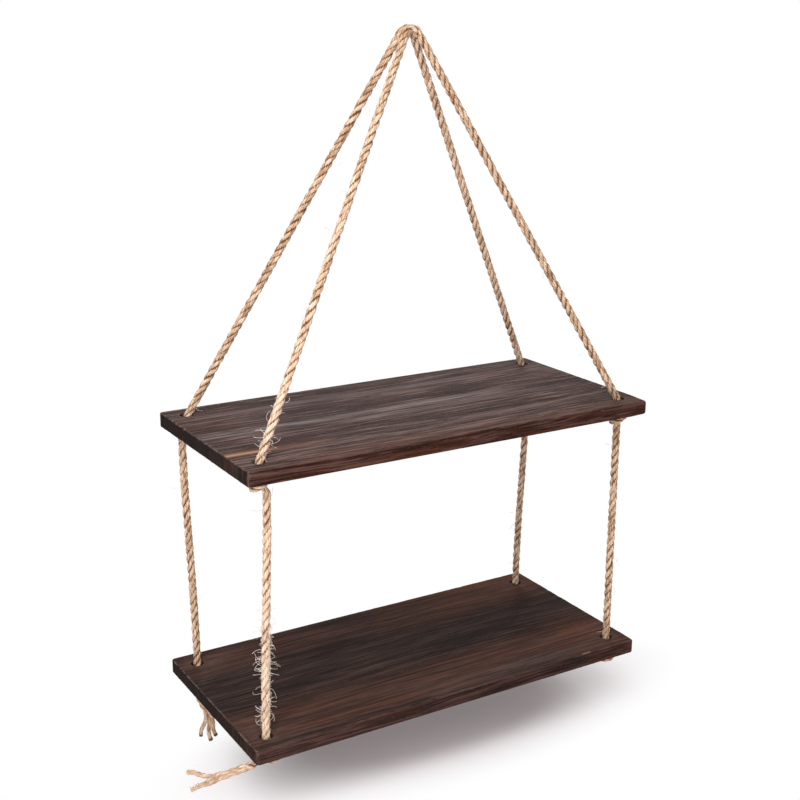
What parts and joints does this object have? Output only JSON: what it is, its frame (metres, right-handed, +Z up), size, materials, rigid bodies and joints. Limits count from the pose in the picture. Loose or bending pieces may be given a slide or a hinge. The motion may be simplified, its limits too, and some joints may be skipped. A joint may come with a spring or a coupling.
{
  "type": "hanging rope shelf",
  "caption": "Wall or ceiling hung shelf: level wooden boards one above the other on knotted twisted ropes that meet at one hanging point, free to swing and sway.",
  "frame": {"origin": "the point under the crowns of the two ropes where they bear on the hook or nail that carries the shelf", "axes": "+X along the boards' length to the right as seen from the front, +Y to the back (the wall side), +Z up"},
  "size_m": [0.4496, 0.19, 0.6499],
  "materials": {
    "wood": "dark espresso stained, satin, worn at the arrises",
    "rope": "twisted three-strand jute, matt, fuzzy",
    "cut_rope": "untwisted jute strands, matt"
  },
  "bodies": {
    "hanging_point": {"front_rope_crown": "rope", "rear_rope_crown": "rope"},
    "swing_necks": {"front_left_swing_neck": "rope", "front_right_swing_neck": "rope", "rear_left_swing_neck": "rope", "rear_right_swing_neck": "rope"},
    "upper_shelf": {"upper_board": "wood", "front_left_sling": "rope", "front_right_sling": "rope", "rear_left_sling": "rope", "rear_right_sling": "rope", "front_left_upper_knot": "rope", "front_right_upper_knot": "rope", "rear_left_upper_knot": "rope", "rear_right_upper_knot": "rope"},
    "front_left_flex": {"front_left_upper_flex": "rope"},
    "front_right_flex": {"front_right_upper_flex": "rope"},
    "rear_left_flex": {"rear_left_upper_flex": "rope"},
    "rear_right_flex": {"rear_right_upper_flex": "rope"},
    "front_left_drop": {"front_left_drop_rope": "rope"},
    "front_right_drop": {"front_right_drop_rope": "rope"},
    "rear_left_drop": {"rear_left_drop_rope": "rope"},
    "rear_right_drop": {"rear_right_drop_rope": "rope"},
    "front_left_foot_flex": {"front_left_lower_flex": "rope"},
    "lower_shelf": {"lower_board": "wood", "front_left_lower_knot": "rope", "front_right_lower_knot": "rope", "rear_left_lower_knot": "rope", "rear_right_lower_knot": "rope", "front_right_lower_flex": "rope", "rear_left_lower_flex": "rope", "rear_right_lower_flex": "rope", "front_left_tail": "cut_rope", "front_right_tail": "cut_rope", "rear_left_tail": "cut_rope", "rear_right_tail": "cut_rope"}
  },
  "joints": [
    {"name": "swing_fore_aft", "type": "hinge", "parent": "hanging_point", "child": "swing_necks", "pos_m": [0, 0, -0.003], "axis": [1, 0, 0], "range_deg": [-15, 15]},
    {"name": "swing_sideways", "type": "hinge", "parent": "swing_necks", "child": "upper_shelf", "pos_m": [0, 0, -0.003], "axis": [0, 1, 0], "range_deg": [-15, 15]},
    {"name": "sway_fore_aft", "type": "hinge", "parent": "upper_shelf", "child": "front_left_flex", "pos_m": [-0.182, -0.075, -0.353], "axis": [1, 0, 0], "range_deg": [-15, 15]},
    {"name": "sway_sideways", "type": "hinge", "parent": "front_left_flex", "child": "front_left_drop", "pos_m": [-0.182, -0.075, -0.353], "axis": [0, 1, 0], "range_deg": [-15, 15]},
    {"name": "front_right_drop_fore_aft", "type": "hinge", "parent": "upper_shelf", "child": "front_right_flex", "pos_m": [0.182, -0.075, -0.353], "axis": [1, 0, 0], "range_deg": [-15, 15]},
    {"name": "front_right_drop_sideways", "type": "hinge", "parent": "front_right_flex", "child": "front_right_drop", "pos_m": [0.182, -0.075, -0.353], "axis": [0, 1, 0], "range_deg": [-15, 15]},
    {"name": "rear_left_drop_fore_aft", "type": "hinge", "parent": "upper_shelf", "child": "rear_left_flex", "pos_m": [-0.182, 0.075, -0.353], "axis": [1, 0, 0], "range_deg": [-15, 15]},
    {"name": "rear_left_drop_sideways", "type": "hinge", "parent": "rear_left_flex", "child": "rear_left_drop", "pos_m": [-0.182, 0.075, -0.353], "axis": [0, 1, 0], "range_deg": [-15, 15]},
    {"name": "rear_right_drop_fore_aft", "type": "hinge", "parent": "upper_shelf", "child": "rear_right_flex", "pos_m": [0.182, 0.075, -0.353], "axis": [1, 0, 0], "range_deg": [-15, 15]},
    {"name": "rear_right_drop_sideways", "type": "hinge", "parent": "rear_right_flex", "child": "rear_right_drop", "pos_m": [0.182, 0.075, -0.353], "axis": [0, 1, 0], "range_deg": [-15, 15]},
    {"name": "lower_board_level_sideways", "type": "hinge", "parent": "front_left_drop", "child": "front_left_foot_flex", "pos_m": [-0.182, -0.075, -0.568], "axis": [0, 1, 0], "range_deg": [-15, 15]},
    {"name": "lower_board_level_fore_aft", "type": "hinge", "parent": "front_left_foot_flex", "child": "lower_shelf", "pos_m": [-0.182, -0.075, -0.568], "axis": [1, 0, 0], "range_deg": [-15, 15]}
  ],
  "couplings": [
    {"joint": "front_right_drop_fore_aft", "follows": "sway_fore_aft", "ratio": 1},
    {"joint": "rear_left_drop_fore_aft", "follows": "sway_fore_aft", "ratio": 1},
    {"joint": "rear_right_drop_fore_aft", "follows": "sway_fore_aft", "ratio": 1},
    {"joint": "lower_board_level_fore_aft", "follows": "sway_fore_aft", "ratio": -1},
    {"joint": "front_right_drop_sideways", "follows": "sway_sideways", "ratio": 1},
    {"joint": "rear_left_drop_sideways", "follows": "sway_sideways", "ratio": 1},
    {"joint": "rear_right_drop_sideways", "follows": "sway_sideways", "ratio": 1},
    {"joint": "lower_board_level_sideways", "follows": "sway_sideways", "ratio": -1}
  ]
}
